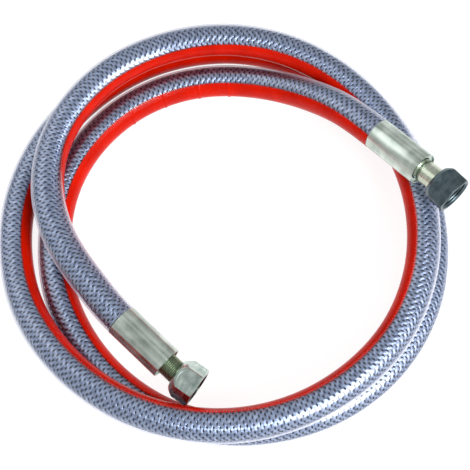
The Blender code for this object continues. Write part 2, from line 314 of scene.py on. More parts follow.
def brushed_group():
    """Fine lines across the V direction of a UV map: noise stretched along U, put out as a height and a tone."""
    group, entry, leave = new_group(
        "brushed_lines",
        [("UV", "vector", None), ("Along", "value", 3.0), ("Across", "value", 400.0)],
        [("Height", "value", None), ("Tone", "value", None)])
    scale = group.nodes.new("ShaderNodeCombineXYZ")
    group.links.new(entry.outputs["Along"], scale.inputs[0])
    group.links.new(entry.outputs["Across"], scale.inputs[1])
    stretch = group.nodes.new("ShaderNodeVectorMath")
    stretch.operation = "MULTIPLY"
    group.links.new(entry.outputs["UV"], stretch.inputs[0])
    group.links.new(scale.outputs[0], stretch.inputs[1])
    noise = group.nodes.new("ShaderNodeTexNoise")
    noise.inputs["Scale"].default_value = 1.0
    noise.inputs["Detail"].default_value = 3.0
    group.links.new(stretch.outputs[0], noise.inputs["Vector"])
    group.links.new(noise.outputs["Fac"], leave.inputs["Height"])
    tone = maths(group, "SUBTRACT", noise.outputs["Fac"], 0.5)
    group.links.new(tone, leave.inputs["Tone"])
    return group


def clouds_group():
    """A soft cloudy value from Object coordinates, at a size given in metres."""
    group, entry, leave = new_group(
        "soft_clouds",
        [("Position", "vector", None), ("Size", "value", 0.01)],
        [("Clouds", "value", None)])
    noise = group.nodes.new("ShaderNodeTexNoise")
    noise.inputs["Detail"].default_value = 2.0
    group.links.new(maths(group, "DIVIDE", 1.0, entry.outputs["Size"]), noise.inputs["Scale"])
    group.links.new(entry.outputs["Position"], noise.inputs["Vector"])
    group.links.new(maths(group, "SUBTRACT", noise.outputs["Fac"], 0.5), leave.inputs["Clouds"])
    return group


BRUSHED = brushed_group()
CLOUDS = clouds_group()


def new_material(name):
    """A material with its Principled shader, its tree and a Texture Coordinate node."""
    material = bpy.data.materials.new(name)
    material.use_nodes = True
    tree = material.node_tree
    return material, tree, tree.nodes["Principled BSDF"], tree.nodes.new("ShaderNodeTexCoord")


def place_group(tree, group, **values):
    """A group node with sockets linked, or plain values set, by name."""
    node = tree.nodes.new("ShaderNodeGroup")
    node.node_tree = group
    for label, value in values.items():
        if isinstance(value, (int, float)):
            node.inputs[label].default_value = value
        else:
            tree.links.new(value, node.inputs[label])
    return node


def tinted(tree, value, dark, light):
    """A colour between dark and light, by a value from minus to plus the tone's reach."""
    ramp = tree.nodes.new("ShaderNodeMapRange")
    ramp.inputs["From Min"].default_value = -TONE_REACH
    ramp.inputs["From Max"].default_value = TONE_REACH
    tree.links.new(value, ramp.inputs["Value"])
    mix = tree.nodes.new("ShaderNodeMix")
    mix.data_type = "RGBA"
    mix.inputs[6].default_value = (*dark, 1.0)
    mix.inputs[7].default_value = (*light, 1.0)
    tree.links.new(ramp.outputs["Result"], mix.inputs[0])
    return mix.outputs[2]


def bump(tree, height, shader, distance):
    """A height from 0 to 1 becomes a relief of that distance on a shader."""
    node = tree.nodes.new("ShaderNodeBump")
    node.inputs["Distance"].default_value = distance
    node.inputs["Strength"].default_value = 1.0
    tree.links.new(height, node.inputs["Height"])
    tree.links.new(node.outputs["Normal"], shader.inputs["Normal"])


print("shader groups:", BRUSHED.name, CLOUDS.name)

# %% [markdown]
# The steel finishes differ in their tone, their polish and the way their lines run. The ferrules were
# drawn and crimped, so their lines run along them; the tails were turned, so theirs run round. The tail at
# end a, with its grooved neck, is a darker steel, and the bright nut has painted shade inside its mouth.

# %% Metal finishes
# Near-black painted shade inside the bright nut's mouth and thread, where little light reaches.
MOUTH_SHADE_COLOUR = (0.05, 0.065, 0.055, 1.0)
MOUTH_SHARE = 0.243
ROUGHNESS_CHANGE = 0.15


def steel(name, dark, light, roughness, along, across, relief, cloud_size=6 * MM, mouth=None):
    """Metal whose tone follows brushed lines and clouds, with the lines as a fine relief. Past a share of V,
    which is where a nut's mouth begins, the colour goes over to a near-black painted shade."""
    material, tree, shader, coordinates = new_material(name)
    lines = place_group(tree, BRUSHED, UV=coordinates.outputs["UV"], Along=along, Across=across)
    clouds = place_group(tree, CLOUDS, Position=coordinates.outputs["Object"], Size=cloud_size)
    tone = maths(tree, "ADD", lines.outputs["Tone"], clouds.outputs["Clouds"])
    colour = tinted(tree, tone, dark, light)
    if mouth is not None:
        split = tree.nodes.new("ShaderNodeSeparateXYZ")
        tree.links.new(coordinates.outputs["UV"], split.inputs[0])
        # Past the mouth's share, the colour becomes the painted shade.
        mouth_shade = tree.nodes.new("ShaderNodeMix")
        mouth_shade.data_type = "RGBA"
        mouth_shade.inputs[7].default_value = MOUTH_SHADE_COLOUR
        tree.links.new(maths(tree, "GREATER_THAN", split.outputs["Y"], mouth), mouth_shade.inputs[0])
        tree.links.new(colour, mouth_shade.inputs[6])
        colour = mouth_shade.outputs[2]
    tree.links.new(colour, shader.inputs["Base Color"])
    rough = maths(tree, "MULTIPLY", tone, ROUGHNESS_CHANGE)
    tree.links.new(maths(tree, "ADD", rough, roughness), shader.inputs["Roughness"])
    shader.inputs["Metallic"].default_value = 1.0
    bump(tree, lines.outputs["Height"], shader, relief)
    return material


FERRULE_STEEL = steel(
    "ferrule_steel", (0.26, 0.33, 0.29), (0.78, 0.86, 0.79), roughness=0.30,
    along=24.0, across=1.0, relief=0.04 * MM, cloud_size=9 * MM)
TAIL_STEEL = steel(
    "tail_steel", (0.36, 0.42, 0.32), (0.66, 0.70, 0.60), roughness=0.26,
    along=2.0, across=260.0, relief=0.03 * MM)
GROOVED_STEEL = steel(
    "grooved_steel", (0.13, 0.18, 0.11), (0.36, 0.43, 0.31), roughness=0.30,
    along=2.0, across=260.0, relief=0.03 * MM)
BRIGHT_NUT_STEEL = steel(
    "bright_nut_steel", (0.28, 0.37, 0.34), (0.70, 0.80, 0.75), roughness=0.24,
    along=3.0, across=120.0, relief=0.01 * MM, cloud_size=4 * MM, mouth=MOUTH_SHARE)
DARK_NUT_STEEL = steel(
    "dark_nut_steel", (0.055, 0.085, 0.100), (0.150, 0.200, 0.220), roughness=0.32,
    along=3.0, across=120.0, relief=0.01 * MM, cloud_size=4 * MM)
print("metal finishes ready")

# %% [markdown]
# The sheath is clear vinyl. Most light goes straight through it, a little is reflected, and much more at a
# grazing angle. A Fresnel node gives that share. Towards its edges the wall looks milky, because the view
# passes through more of it. Light from the lamps has to reach the wire, so it is wholly clear to shadow rays.

# %% Clear vinyl
GLOSS_SHARE = 0.95
MILK_EDGE = 0.75
MILK_FLAT = 0.015
MILK_STARTS = 0.38
MILK_ENDS = 0.82
CLEAR_IOR = 1.60
CLEAR_ROUGHNESS = 0.17


def clear_vinyl():
    """Mostly Transparent. A soft gloss is mixed in by Fresnel on front faces, then a milky body that grows
    smoothly towards grazing angles. Shadow rays pass freely."""
    material, tree, milk, coordinates = new_material("clear_vinyl")
    clouds = place_group(tree, CLOUDS, Position=coordinates.outputs["Object"], Size=9 * MM)
    pale = tinted(tree, clouds.outputs["Clouds"], (0.56, 0.58, 0.71), (0.72, 0.74, 0.87))
    tree.links.new(pale, milk.inputs["Base Color"])
    milk.inputs["Roughness"].default_value = 0.5
    gloss = tree.nodes.new("ShaderNodeBsdfGlossy")
    gloss.inputs["Color"].default_value = (1.0, 1.0, 1.0, 1.0)
    gloss.inputs["Roughness"].default_value = CLEAR_ROUGHNESS
    bump(tree, clouds.outputs["Clouds"], gloss, 0.25 * MM)
    through = tree.nodes.new("ShaderNodeBsdfTransparent")
    through.inputs["Color"].default_value = (0.97, 0.98, 1.0, 1.0)
    fresnel = tree.nodes.new("ShaderNodeFresnel")
    fresnel.inputs["IOR"].default_value = CLEAR_IOR
    path = tree.nodes.new("ShaderNodeLightPath")
    facing = tree.nodes.new("ShaderNodeNewGeometry")
    unlit = maths(tree, "ADD", path.outputs["Is Shadow Ray"], facing.outputs["Backfacing"])
    seen = maths(tree, "SUBTRACT", 1.0, maths(tree, "MINIMUM", unlit, 1.0))
    grazing = tree.nodes.new("ShaderNodeLayerWeight")
    grazing.inputs["Blend"].default_value = 0.5
    edge = tree.nodes.new("ShaderNodeMapRange")
    edge.interpolation_type = "SMOOTHSTEP"
    edge.inputs["From Min"].default_value = MILK_STARTS
    edge.inputs["From Max"].default_value = MILK_ENDS
    tree.links.new(grazing.outputs["Facing"], edge.inputs["Value"])
    clear_gloss = tree.nodes.new("ShaderNodeMixShader")
    gloss_share = maths(tree, "MULTIPLY", fresnel.outputs["Fac"], GLOSS_SHARE)
    tree.links.new(maths(tree, "MULTIPLY", gloss_share, seen), clear_gloss.inputs["Fac"])
    tree.links.new(through.outputs[0], clear_gloss.inputs[1])
    tree.links.new(gloss.outputs[0], clear_gloss.inputs[2])
    body = maths(tree, "ADD", maths(tree, "MULTIPLY", edge.outputs["Result"], MILK_EDGE), MILK_FLAT)
    mix = tree.nodes.new("ShaderNodeMixShader")
    tree.links.new(maths(tree, "MULTIPLY", body, seen), mix.inputs["Fac"])
    tree.links.new(clear_gloss.outputs[0], mix.inputs[1])
    tree.links.new(milk.outputs[0], mix.inputs[2])
    tree.links.new(mix.outputs[0], tree.nodes["Material Output"].inputs["Surface"])
    return material


CLEAR_VINYL = clear_vinyl()
print("clear vinyl ready")

# %% [markdown]
# The stripe, the rubber and the wires are opaque. The stripe's gloss is broken by a fine unevenness, and each
# band of wire shows its separate wires with painted light and shade across them, and is painted lighter
# where it floats over the others and darker where it dives under them.

# %% Stripe, rubber and wire finishes
WIRES_PER_BAND = 5
# Painted light and shade: a wave across each band's wires, and light on its floats with shade where it dives.
WIRE_LIGHT_AND_SHADE = 0.10
FLOAT_LIGHT_AND_SHADE = 0.12


def stripe_vinyl():
    """Opaque orange-red vinyl, deeper where the tone clouds dip."""
    material, tree, shader, coordinates = new_material("stripe_vinyl")
    clouds = place_group(tree, CLOUDS, Position=coordinates.outputs["Object"], Size=14 * MM)
    red = tinted(tree, clouds.outputs["Clouds"], (0.44, 0.005, 0.0), (0.68, 0.010, 0.0))
    tree.links.new(red, shader.inputs["Base Color"])
    shader.inputs["Roughness"].default_value = 0.20
    shader.inputs["Specular IOR Level"].default_value = 0.10
    fine = place_group(tree, CLOUDS, Position=coordinates.outputs["Object"], Size=1.1 * MM)
    bump(tree, fine.outputs["Clouds"], shader, 0.22 * MM)
    return material


def liner_rubber():
    """Dark rubber, a little blue in the shade of the wires."""
    material, tree, shader, coordinates = new_material("liner_rubber")
    clouds = place_group(tree, CLOUDS, Position=coordinates.outputs["Object"], Size=3 * MM)
    black = tinted(tree, clouds.outputs["Clouds"], (0.004, 0.006, 0.022), (0.010, 0.014, 0.045))
    tree.links.new(black, shader.inputs["Base Color"])
    shader.inputs["Roughness"].default_value = 0.6
    return material


def braid_steel():
    """Wire bands: a wave across each band's U gives its parallel wires as relief and as painted light and shade.
    The V counts weaving periods, so its cosine paints light on the floats and shade where the band dives."""
    material, tree, shader, coordinates = new_material("braid_steel")
    split = tree.nodes.new("ShaderNodeSeparateXYZ")
    tree.links.new(coordinates.outputs["UV"], split.inputs[0])
    wires = maths(tree, "SINE", maths(tree, "MULTIPLY", split.outputs["X"], 2.0 * math.pi * WIRES_PER_BAND))
    clouds = place_group(tree, CLOUDS, Position=coordinates.outputs["Object"], Size=2.5 * MM)
    # Painted light on the floats and painted shade where a band dives under the others.
    float_shade_wave = maths(tree, "COSINE", maths(tree, "MULTIPLY", split.outputs["Y"], 2.0 * math.pi))
    painted_weave_shading = maths(tree, "ADD", maths(tree, "MULTIPLY", wires, WIRE_LIGHT_AND_SHADE), maths(tree, "MULTIPLY", float_shade_wave, FLOAT_LIGHT_AND_SHADE))
    tone = maths(tree, "ADD", painted_weave_shading, clouds.outputs["Clouds"])
    tree.links.new(tinted(tree, tone, (0.10, 0.15, 0.28), (0.53, 0.61, 0.77)), shader.inputs["Base Color"])
    shader.inputs["Metallic"].default_value = 1.0
    shader.inputs["Roughness"].default_value = 0.36
    bump(tree, wires, shader, 0.03 * MM)
    return material


STRIPE_VINYL = stripe_vinyl()
LINER_RUBBER = liner_rubber()
BRAID_STEEL = braid_steel()
print("stripe, rubber and wire finishes ready")

# %% [markdown]
# The sheath is a hollow tube: the same ring of turns is carried along the line twice, outside and inside,
# and the two walls join at the ends. As one grid, its rows run out along the outer wall and back along
# the inner one, so the surface closes on itself.

# %% Clear sheath
SHEATH_WALL = 1.2 * MM
CLEAR_WALL = 0.9 * MM
LAYER_GAP = 0.35 * MM
SHEATH_SIDES = 48
SHEATH_STATION = 3.0 * MM
TUBE_SHARP = 60.0
UV_LENGTH = 0.1


def hollow_tube(name, outer, wall, station, sides, material):
    """Rings of turns along the outer wall and back along the inner one; the rows wrap round the hose."""
    count = int(round(LINE_LENGTH / station)) + 1
    there = np.linspace(0.0, LINE_LENGTH, count)
    place = np.concatenate((there, there[::-1]))
    base = np.concatenate((np.full(count, outer), np.full(count, outer - wall)))
    turn = np.linspace(0.0, 2.0 * np.pi, sides, endpoint=False)
    place, turn = np.meshgrid(place, turn, indexing="ij")
    points = around_hose(place, turn, np.broadcast_to(base[:, None], turn.shape)).reshape(-1, 3)
    faces = grid_faces(2 * count, sides, True, True)
    uv = grid_uv(2 * count, sides, True, True, 2.0 * LINE_LENGTH / UV_LENGTH)
    return piece_from_arrays(name, points, faces, uv, material, TUBE_SHARP)


sheath = hollow_tube("sheath", 0.5 * HOSE_OD, CLEAR_WALL, SHEATH_STATION, SHEATH_SIDES, CLEAR_VINYL)
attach(sheath, "hose")
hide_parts("clear_sheath")

# %% [markdown]
# The stripe is part of the sheath's wall and runs along the inside of the coil. Its section is a bent band,
# and the braid's waves print a row of small teeth on both of its edges. The hose was twisted a little when
# it was coiled, so a table gives how far the stripe has turned about the hose at each turn of the coil.
# Near the back, the stripe is pressed up into four small wrinkles.

# %% Orange stripe
STRIPE_HALF_WIDTH = math.radians(52.0)
STRIPE_TWIST = [
    (227.0, -72.0), (262.0, -66.0), (280.0, -40.0), (296.0, -14.0), (336.0, -17.0), (363.0, -9.0), (391.0, -4.0),
    (461.0, 4.0), (517.0, -4.0), (537.0, -12.0), (575.0, -5.0), (608.0, 3.0), (630.0, 7.0), (800.0, 5.0),
    (966.0, 5.0), (1051.0, 5.0), (1084.0, 2.0), (1119.0, -5.0), (1139.0, -12.0),
]
TWIST_EASE = 12.0 * MM
STRIPE_PROUD = 0.06 * MM
STRIPE_DEPTH = 1.3 * MM
TOOTH_LENGTH = 1.84 * MM
TOOTH_DEPTH = math.radians(3.2)
TOOTH_SHIFT = 1.3
STRIPE_STATION = 0.62 * MM
STRIPE_COLUMNS = 15
STRIPE_SHARP = 50.0
WRINKLE_TURNS = (1043.5, 1057.0, 1070.0, 1081.0)
WRINKLE_HEIGHT = 0.55 * MM
WRINKLE_WIDTH = 0.52 * MM
WRINKLE_FALL = 1.5


def turn_to_place(turn):
    """Place along the hose where the coil has reached a turn angle."""
    flat = LINE[:, :2] - np.array(COIL_AXIS[:2])
    angle = np.degrees(np.unwrap(np.arctan2(flat[:, 0], flat[:, 1])))
    angle += 360.0 * round((FITTINGS["a"]["turn"] - angle[0]) / 360.0)
    return float(np.interp(turn, angle, LINE_PLACE))


def wrinkles(place, turn):
    """Ridges across the inside of the coil: a bell along the hose for each, times a power of the cosine
    of the turn round it."""
    middles = np.array([turn_to_place(middle) for middle in WRINKLE_TURNS])
    along = np.exp(-0.5 * ((place[..., None] - middles) / WRINKLE_WIDTH) ** 2).sum(axis=-1)
    return WRINKLE_HEIGHT * along * np.clip(np.cos(turn), 0.0, 1.0) ** WRINKLE_FALL


def stripe_edge(place, phase):
    """Half width plus a rounded saw of teeth along the hose."""
    return STRIPE_HALF_WIDTH + TOOTH_DEPTH * np.sin(2.0 * np.pi * place / TOOTH_LENGTH + phase)


def stripe_centre():
    """The table's twist read at every step of the line, relaxed so that it turns without kinks."""
    places = [turn_to_place(turn) for turn, twist in STRIPE_TWIST]
    twist = np.interp(LINE_PLACE, places, [math.radians(twist) for turn, twist in STRIPE_TWIST])
    return relaxed(twist[:, None], TWIST_EASE)[:, 0]


def add_stripe():
    """A closed bent band: columns go up the band's outer face and come back down its inner one."""
    count = int(round(LINE_LENGTH / STRIPE_STATION)) + 1
    place = np.linspace(JOINT_GAP, LINE_LENGTH - JOINT_GAP, count)[:, None]
    share = np.concatenate((np.linspace(-1.0, 1.0, STRIPE_COLUMNS), np.linspace(1.0, -1.0, STRIPE_COLUMNS)))[None, :]
    low = stripe_edge(place, 0.0)
    high = stripe_edge(place, TOOTH_SHIFT)
    turn = np.interp(place, LINE_PLACE, stripe_centre()) + np.where(share > 0, share * high, share * low)
    outer = 0.5 * HOSE_OD + STRIPE_PROUD
    inner = 0.5 * HOSE_OD - STRIPE_DEPTH
    base = np.concatenate((np.full(STRIPE_COLUMNS, outer), np.full(STRIPE_COLUMNS, inner)))[None, :]
    place = np.broadcast_to(place, turn.shape)
    points = around_hose(place, turn, base + wrinkles(place, turn)).reshape(-1, 3)
    columns = 2 * STRIPE_COLUMNS
    faces = grid_faces(count, columns, False, True)
    uv = grid_uv(count, columns, False, True, LINE_LENGTH / UV_LENGTH)
    first_end = np.arange(STRIPE_COLUMNS - 1)
    cap = np.stack((first_end, first_end + 1, columns - 2 - first_end, columns - 1 - first_end), axis=-1)
    last = (count - 1) * columns
    faces = np.vstack((faces, cap, last + cap[:, ::-1]))
    uv = np.vstack((uv, np.zeros((cap.size * 2, 2))))
    return piece_from_arrays("stripe", points, faces, uv, STRIPE_VINYL, STRIPE_SHARP)


stripe = add_stripe()
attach(stripe, "hose")

# %% [markdown]
# The braid is woven from 24 flat bands of wire, 12 each way round. Each band passes over two others and
# then under two. Its height is a flattened wave of how many crossings it has met, and the bands that run
# the other way take the same wave upside down, so that they never meet. Each band also weaves a little from
# side to side, steeper through a crossing than between two, which leaves holes wider than they are long.
# A clear round wall works as a lens, which makes the wires look closer to its surface than they are. The wall
# here doesn't bend the view, so the bands and the rubber under them are drawn a little larger instead.

# %% Woven wire bands
BRAID_OD = HOSE_OD - 2.0 * (SHEATH_WALL + LAYER_GAP)
BRAID_WALL = 0.8 * MM
BANDS_EACH_WAY = 12
BRAID_ANGLE = math.radians(50.6)
BRAID_PITCH = math.pi * BRAID_OD / math.tan(BRAID_ANGLE)
BAND_WIDTH = 1.44 * MM
BAND_THICKNESS = 0.34 * MM
BAND_WEAVE = 0.21 * MM
CROSSING_LENGTH = BRAID_PITCH / (2.0 * BANDS_EACH_WAY)
BAND_RISE = 1.12
BAND_FLATNESS = 1.45
BAND_SECTION_ACROSS = np.array([-1.0, 0.0, 1.0, 0.0])
BAND_SECTION_LIFT = np.array([0.05, 0.5, 0.05, -0.5])
BAND_SHARP = 80.0
ROWS_PER_PERIOD = 8.0
BRAID_REACH = 2.0 * MM
LENS_LIFT = 0.55 * MM


def band_points(hand, number, place):
    """A band's turn and height along the hose, then its section: an edge, a crown, an edge and a keel."""
    crossing = 2.0 * BANDS_EACH_WAY * place / BRAID_PITCH
    met = 2.0 * number + hand * crossing
    wave = np.cos(0.5 * np.pi * (met - 0.5))
    height = hand * np.clip(BAND_FLATNESS * wave, -1.0, 1.0) * 0.5 * BAND_THICKNESS * BAND_RISE
    turn = hand * 2.0 * np.pi * place / BRAID_PITCH + 2.0 * np.pi * number / BANDS_EACH_WAY
    middle = 0.5 * BRAID_OD - 0.5 * BRAID_WALL
    weave = -hand * BAND_WEAVE * np.sin(2.0 * np.pi * place / CROSSING_LENGTH)
    across = BAND_SECTION_ACROSS * 0.5 * BAND_WIDTH + weave[:, None]
    lift = BAND_SECTION_LIFT * BAND_THICKNESS
    along_shift = -hand * across * math.sin(BRAID_ANGLE)
    turn_shift = across * math.cos(BRAID_ANGLE) / middle
    return (place[:, None] + along_shift, turn[:, None] + turn_shift, middle + LENS_LIFT + height[:, None] + lift)


def add_bands(name, hand, numbers):
    """Several bands as one piece, each a closed strip with its two ends capped. Rows stand half a crossing
    apart, so a weaving period of four crossings takes eight. V counts the periods from where a band rides
    highest."""
    crossing = np.arange(-BRAID_REACH / CROSSING_LENGTH, (LINE_LENGTH + BRAID_REACH) / CROSSING_LENGTH, 0.5)
    crossing = np.round(2.0 * crossing) / 2.0 + 0.25
    place = crossing * CROSSING_LENGTH
    count, columns = len(place), 4
    all_points, all_faces, all_uv = [], [], []
    for number in numbers:
        at, turn, radius = band_points(hand, number, place)
        first = len(all_points) * count * columns
        all_points.append(around_hose(np.clip(at, 0.0, LINE_LENGTH), turn, radius).reshape(-1, 3))
        last = first + (count - 1) * columns
        caps = np.array([[first, first + 1, first + 2, first + 3], [last + 3, last + 2, last + 1, last]])
        all_faces.append(np.vstack((grid_faces(count, columns, False, True, first), caps)))
        sides_uv = grid_uv(count, columns, False, True, (count - 1) / ROWS_PER_PERIOD)
        uv = np.vstack((sides_uv, np.zeros((caps.size, 2))))
        periods = 0.5 * number - 0.125 if hand > 0 else -0.5 * number - 0.375
        all_uv.append(uv + (0.0, 0.25 * crossing[0] + periods))
    points, faces, uv = np.vstack(all_points), np.vstack(all_faces), np.vstack(all_uv)
    piece = piece_from_arrays(name, points, faces, uv, BRAID_STEEL, BAND_SHARP)
    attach(piece, "hose")
    return piece


half = BANDS_EACH_WAY // 2
braid = [
    add_bands("braid_right_1", 1, range(0, half)), add_bands("braid_right_2", 1, range(half, BANDS_EACH_WAY)),
    add_bands("braid_left_1", -1, range(0, half)), add_bands("braid_left_2", -1, range(half, BANDS_EACH_WAY)),
]
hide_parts("wire_braid")
print("braid pitch:", round(BRAID_PITCH / MM, 1), "mm, crossings every", round(CROSSING_LENGTH / MM, 2), "mm")

# %% [markdown]
# The rubber under the wires is seen only through the gaps between the bands, so its rings are coarser.

# %% Rubber liner under the wires
LINER_OD = BRAID_OD - 2.0 * (BRAID_WALL + LAYER_GAP)
LINER_WALL = 2.0 * MM
LINER_LIFT = 0.2 * MM + 0.7 * LENS_LIFT
LINER_STATION = 5.0 * MM
LINER_SIDES = 24
liner = hollow_tube("liner", 0.5 * LINER_OD + LINER_LIFT, LINER_WALL, LINER_STATION, LINER_SIDES, LINER_RUBBER)
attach(liner, "hose")
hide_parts("inner_tube")

# %% [markdown]
# Ferrules, tails and nuts are all turned shapes, so each is a closed profile of (distance, radius) points
# swept round the fitting's axis. Sharp corners are cut back first, as a lathe tool or a die leaves them.

# %% Turned shapes
CRIMP_DIES = 8
CRIMPED_BAND = 0.6 * MM
TURNED_SHARP = 35.0


def softened(corners, cut):
    """Each corner of a closed profile becomes three points: one cut back along each of its sides, and one
    halfway from the corner to the middle of that cut."""
    corners = np.array(corners, dtype=float)
    before = np.roll(corners, 1, axis=0) - corners
    after = np.roll(corners, -1, axis=0) - corners
    long_before = np.linalg.norm(before, axis=1)[:, None]
    long_after = np.linalg.norm(after, axis=1)[:, None]
    back = corners + before * np.minimum(cut / long_before, 0.45)
    ahead = corners + after * np.minimum(cut / long_after, 0.45)
    middle = 0.25 * back + 0.5 * corners + 0.25 * ahead
    return np.stack((back, middle, ahead), axis=1).reshape(-1, 2)


def axis_frame(origin, axis, roll=0.0):
    """Columns: the upward side, the level side, and the axis itself, turned by a roll about it."""
    side = axis.cross(Vector((0.0, 0.0, 1.0))).normalized()
    upward = side.cross(axis).normalized()
    place = Matrix((upward, side, axis)).transposed().to_4x4()
    place.translation = origin
    return place @ Matrix.Rotation(math.radians(roll), 4, "Z")


def placed(points, place):
    """Points of a fitting's own axes moved to where the fitting lies."""
    matrix = np.array(place)
    return points.reshape(-1, 3) @ matrix[:3, :3].T + matrix[:3, 3]


def swept(name, turn, distance, radius, place, material, sharp_degrees):
    """Point = (radius * cos(turn), radius * sin(turn), distance), with a row for every turn and a column for
    every point of the profile."""
    distance = np.broadcast_to(distance, radius.shape)
    points = np.stack((radius * np.cos(turn), radius * np.sin(turn), distance), axis=-1)
    faces = grid_faces(*radius.shape, True, True)
    uv = grid_uv(*radius.shape, True, True, 1.0)[:, ::-1]
    return piece_from_arrays(name, placed(points, place), faces, uv, material, sharp_degrees)


def turned(name, profile, place, sides, material, crimp=0.0):
    """A profile swept in a circle. Each crimping die presses a shallow flat, so the outer radius dips by one
    wave of the turn for each die."""
    turn = np.linspace(0.0, 2.0 * np.pi, sides, endpoint=False)[:, None]
    distance, radius = profile[None, :, 0], profile[None, :, 1]
    outside = radius > radius.max() - CRIMPED_BAND
    radius = radius - crimp * outside * (0.5 - 0.5 * np.cos(CRIMP_DIES * turn))
    return swept(name, turn, distance, radius, place, material, TURNED_SHARP)


print("a square profile softens to", len(softened([(0, 0), (1, 0), (1, 1), (0, 1)], 0.1)), "points")

# %% [markdown]
# A ferrule is a sleeve over the end of the hose, closed to a lip on the tail's neck. Eight dies crimped it.

# %% Ferrules
FIT_GAP = 0.3 * MM
FERRULE_LENGTH = 37.0 * MM
FERRULE_WALL = 1.4 * MM
FERRULE_LIP = 1.6 * MM
FERRULE_SOFT = 0.25 * MM
RIM_RECESS = 1.2 * MM
RIM_STEP = 0.5 * MM
NECK_OD = 13.8 * MM
FERRULE_ID = BRAID_OD + 2.0 * FIT_GAP
FERRULE_OD = FERRULE_ID + 2.0 * FERRULE_WALL
FERRULE_SIDES = 96
CRIMP_DEPTH = 0.16 * MM


def add_ferrule(key):
    """The sleeve's section: outer wall, rolled rim, recess, lip on the neck, and inner wall."""
    outer, inner = 0.5 * FERRULE_OD, 0.5 * FERRULE_ID
    lip = 0.5 * NECK_OD + FIT_GAP
    face = FERRULE_LENGTH - RIM_RECESS
    corners = [
        (0.0, inner), (face - FERRULE_LIP, inner), (face - FERRULE_LIP, lip), (face, lip), (face, inner + RIM_STEP),
        (FERRULE_LENGTH, inner + RIM_STEP), (FERRULE_LENGTH, outer), (0.0, outer)]
    profile = softened(corners, FERRULE_SOFT)[::-1]
    place = axis_frame(fitting_origin(key), fitting_axis(key))
    piece = turned("crimped_ferrule_" + key, profile, place, FERRULE_SIDES, FERRULE_STEEL, crimp=CRIMP_DEPTH)
    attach(piece, "hose")
    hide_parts("ferrule_" + key)
    return piece


ferrules = [add_ferrule(key) for key in FITTINGS]

# %% [markdown]
# A tail's barb lies in the hose. Its neck shows between the ferrule and the nut, and its head, inside the
# nut, keeps the nut on. At end a the neck has a row of fine grooves.

# %% Tails
TAIL_REACH = 32.0 * MM
TAIL_BORE = 8.05 * MM
BARB_OD = 10.25 * MM
NECK_LENGTH = 11.5 * MM
NUT_BACK_WALL = 2.6 * MM
HEAD_OD = 16.2 * MM
HEAD_THICKNESS = 2.2 * MM
HEAD_DEPTH = 1.2 * MM
TAIL_SOFT = 0.12 * MM
TAIL_SIDES = 96
GROOVES = 11
GROOVE_HALF_WIDTH = 0.34 * MM
GROOVE_DEPTH = 0.60 * MM


def add_tail(key):
    """The tail's section: bore, barb, shoulder, neck with fine lathe grooves, and head."""
    bore, barb, neck, head = 0.5 * TAIL_BORE, 0.5 * BARB_OD, 0.5 * NECK_OD, 0.5 * HEAD_OD
    lip_start = FERRULE_LENGTH - RIM_RECESS - FERRULE_LIP
    head_start = FERRULE_LENGTH + NECK_LENGTH + NUT_BACK_WALL + HEAD_DEPTH
    head_end = head_start + HEAD_THICKNESS
    barb_start = FERRULE_LENGTH - TAIL_REACH
    corners = [(barb_start, bore), (head_end, bore), (head_end, head), (head_start, head), (head_start, neck)]
    if key == "a":
        for groove in np.linspace(FERRULE_LENGTH + NECK_LENGTH, FERRULE_LENGTH + 0.5 * MM, GROOVES):
            corners += [
                (groove + GROOVE_HALF_WIDTH, neck), (groove, neck - GROOVE_DEPTH), (groove - GROOVE_HALF_WIDTH, neck)]
    corners += [(lip_start, neck), (lip_start, barb), (barb_start, barb)]
    profile = softened(corners, TAIL_SOFT)[::-1]
    place = axis_frame(fitting_origin(key), fitting_axis(key))
    piece = turned("hose_tail_" + key, profile, place, TAIL_SIDES, GROOVED_STEEL if key == "a" else TAIL_STEEL)
    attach(piece, "hose")
    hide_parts("tail_" + key)
    return piece


tails = [add_tail(key) for key in FITTINGS]

# %% [markdown]
# A nut's outside is a hexagon cut back by two cones. At each turn about the axis, the hexagon's radius says
# how far out the flat is, and a cone meets it at its own distance along the axis. Working out that meeting
# line for every turn gives the round scallops that a chamfering tool leaves on a real nut. The thread is a
# saw wave along the axis that moves on by one pitch in each turn.

# %% Hexagon nuts
NUT_ACROSS_FLATS = 22.0 * MM
NUT_LENGTH = 15.0 * MM
NUT_BACK_HOLE = 15.4 * MM
NUT_BACK_LAND = 16.4 * MM
NUT_CROWN = 6.2 * MM
NUT_BULGE = 1.6
NUT_RIM_FLAT = 21.6 * MM
NUT_RIM_CROWN = 0.8 * MM
THREAD_CORE = 18.4 * MM
THREAD_DEPTH = 0.85 * MM
THREAD_PITCH = 1.5 * MM
NUT_SIDES = 240
NUT_ROLL = {"a": 37.9, "b": 16.5}
CORNER_BLUNT = 0.30 * MM
EDGE_SOFT = 0.12 * MM
NUT_MOUTH_CHAMFER = 0.7 * MM
THREAD_ROWS = 48
THREAD_END = 3.4 * MM
THREAD_RELIEF = 2.8 * MM
DOME_ROWS = 9
NUT_SHARP = 28.0


def hexagon_radius(turn):
    """Half the width across flats over the cosine of the turn from the nearest flat's middle, with the
    corners rounded off by a smooth minimum."""
    from_flat = turn % (np.pi / 3.0) - np.pi / 6.0
    corner = NUT_ACROSS_FLATS / math.sqrt(3.0)
    sharp = 0.5 * NUT_ACROSS_FLATS / np.cos(from_flat)
    limit = corner - CORNER_BLUNT
    ease = 2.0 * CORNER_BLUNT
    share = np.clip(0.5 + 0.5 * (limit - sharp) / ease, 0.0, 1.0)
    return limit + (sharp - limit) * share - ease * share * (1.0 - share)


